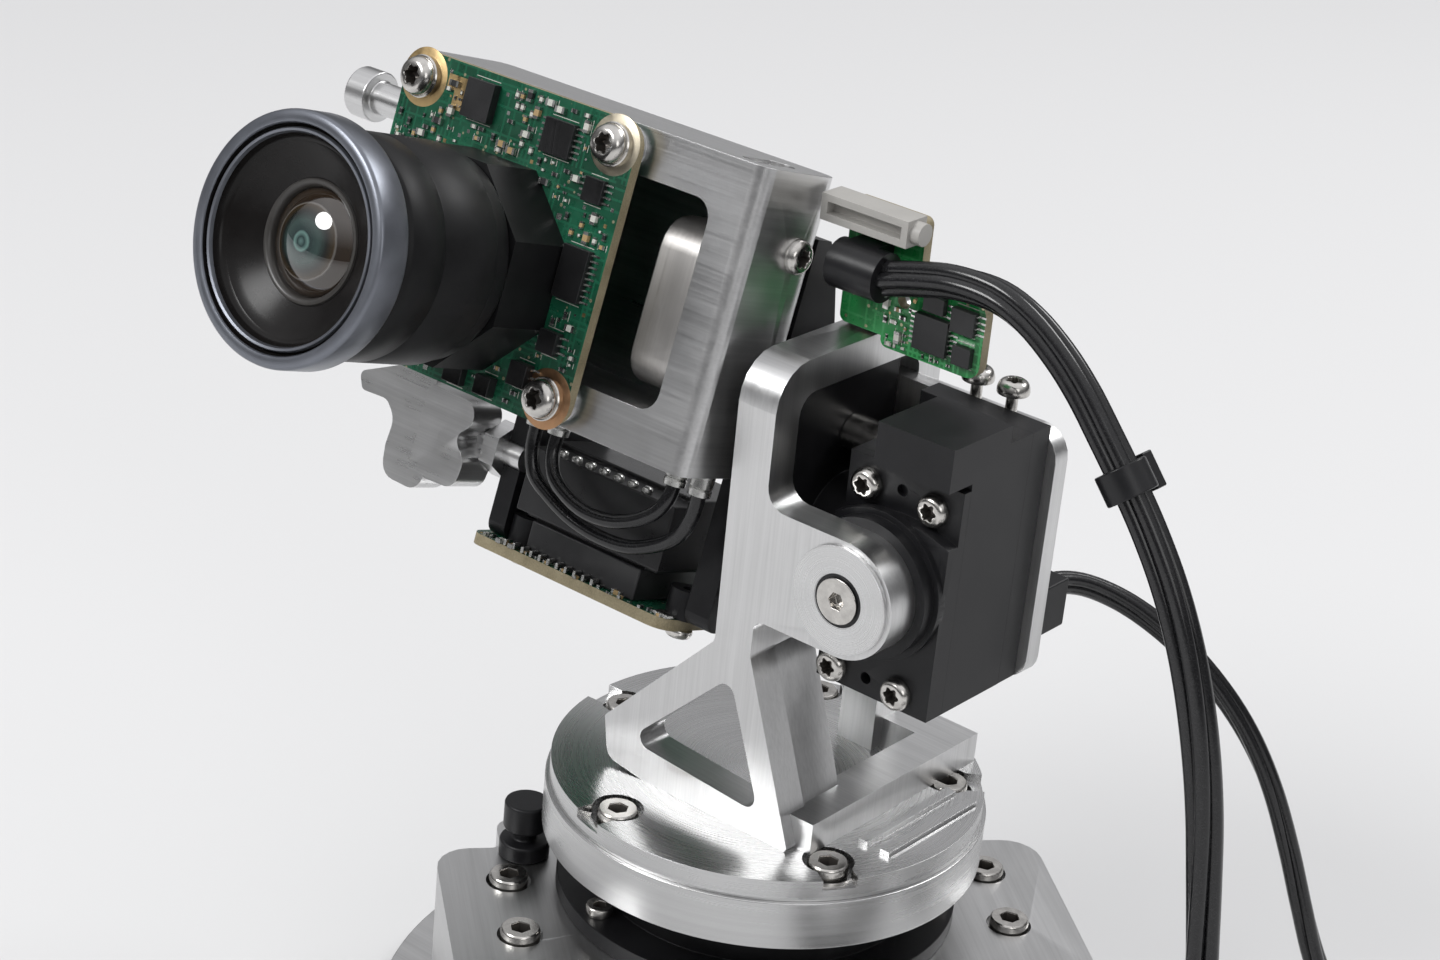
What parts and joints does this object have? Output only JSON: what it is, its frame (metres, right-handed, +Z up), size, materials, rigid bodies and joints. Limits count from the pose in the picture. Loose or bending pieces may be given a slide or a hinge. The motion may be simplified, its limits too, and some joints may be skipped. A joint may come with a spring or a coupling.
{
  "type": "pan_tilt_camera_mount",
  "caption": "Pan tilt camera mount with an open-board camera and lens on a tilting head, carried by a hooked metal yoke on a bearing turntable with servo drives and trailing cords.",
  "frame": {"origin": "On the pan axis at the underside of the base plate, which is the face that stands on the bench.", "axes": "+Z up along the pan axis; -Y the way the lens faces at rest; +X to the right as seen from in front of the lens."},
  "size_m": [0.219, 0.1408, 0.1405],
  "materials": {
    "satin_aluminium": "satin",
    "bright_aluminium": "brushed",
    "steel": "polished",
    "bearing_steel": "polished",
    "bronze": "satin",
    "black_plastic": "matte",
    "black_anodized": "satin",
    "grey_plastic": "matte",
    "board_green": "solder mask",
    "cord_black": "gloss",
    "lens_glass": "coated"
  },
  "bodies": {
    "base": {"base_plate": "satin_aluminium", "base_block": "satin_aluminium", "base_block_screws": "steel", "pan_servo_case": "black_plastic", "pan_servo_lid": "black_plastic", "pan_servo_screws": "steel", "bearing_housing": "black_anodized", "bearing_outer_race": "bearing_steel", "bearing_balls": "bearing_steel", "lock_knob": "black_plastic"},
    "pan": {"turntable_ring": "satin_aluminium", "turntable_disc": "satin_aluminium", "turntable_screws": "steel", "bearing_inner_race": "bearing_steel", "pan_horn": "black_plastic", "horn_screws": "steel", "yoke": "bright_aluminium", "front_bush": "black_plastic", "bearing_plate": "black_anodized", "tilt_bush": "bronze", "bearing_plate_screws": "steel", "servo_front_cover": "black_plastic", "servo_case": "black_plastic", "servo_rear_cover": "black_plastic", "servo_screws": "steel", "rear_frame": "satin_aluminium", "rear_frame_screws": "steel", "rear_board": "board_green", "board_bracket": "bright_aluminium", "rear_connector": "grey_plastic", "cable_clamp": "black_plastic", "servo_socket": "black_plastic", "harness": "cord_black", "harness_coil": "cord_black", "harness_tie": "black_plastic", "harness_plug": "grey_plastic", "servo_lead": "cord_black", "lead_coil": "cord_black", "lead_plug": "grey_plastic"},
    "output": {"drive_shaft": "steel"},
    "head": {"tilt_shaft": "steel", "tilt_hub": "bright_aluminium", "tilt_bracket": "black_anodized", "bracket_screws": "steel", "camera_housing": "satin_aluminium", "housing_block": "satin_aluminium", "housing_screws": "steel", "sensor_board": "board_green", "board_chips": "black_plastic", "board_screws": "steel", "lens_holder": "black_plastic", "lens_barrel": "black_anodized", "lens_ring": "black_anodized", "lens_glass": "lens_glass", "pivot_pin": "steel", "side_bracket": "bright_aluminium", "lower_board": "board_green", "driver_modules": "black_plastic", "camera_lead_outer": "cord_black", "camera_lead_inner": "cord_black"}
  },
  "joints": [
    {"name": "pan", "type": "hinge", "parent": "base", "child": "pan", "pos_m": [0, 0, 0.048], "axis": [0, 0, 1], "range_deg": [-90, 90]},
    {"name": "tilt", "type": "hinge", "parent": "pan", "child": "head", "pos_m": [0, 0.0015, 0.0868], "axis": [1, 0, 0], "range_deg": [-40, 35]},
    {"name": "servo_output", "type": "hinge", "parent": "pan", "child": "output", "pos_m": [0.02, 0.0015, 0.0868], "axis": [0, 1, 0], "range_deg": [-40, 35]}
  ],
  "couplings": [
    {"joint": "servo_output", "follows": "tilt", "ratio": 1}
  ]
}
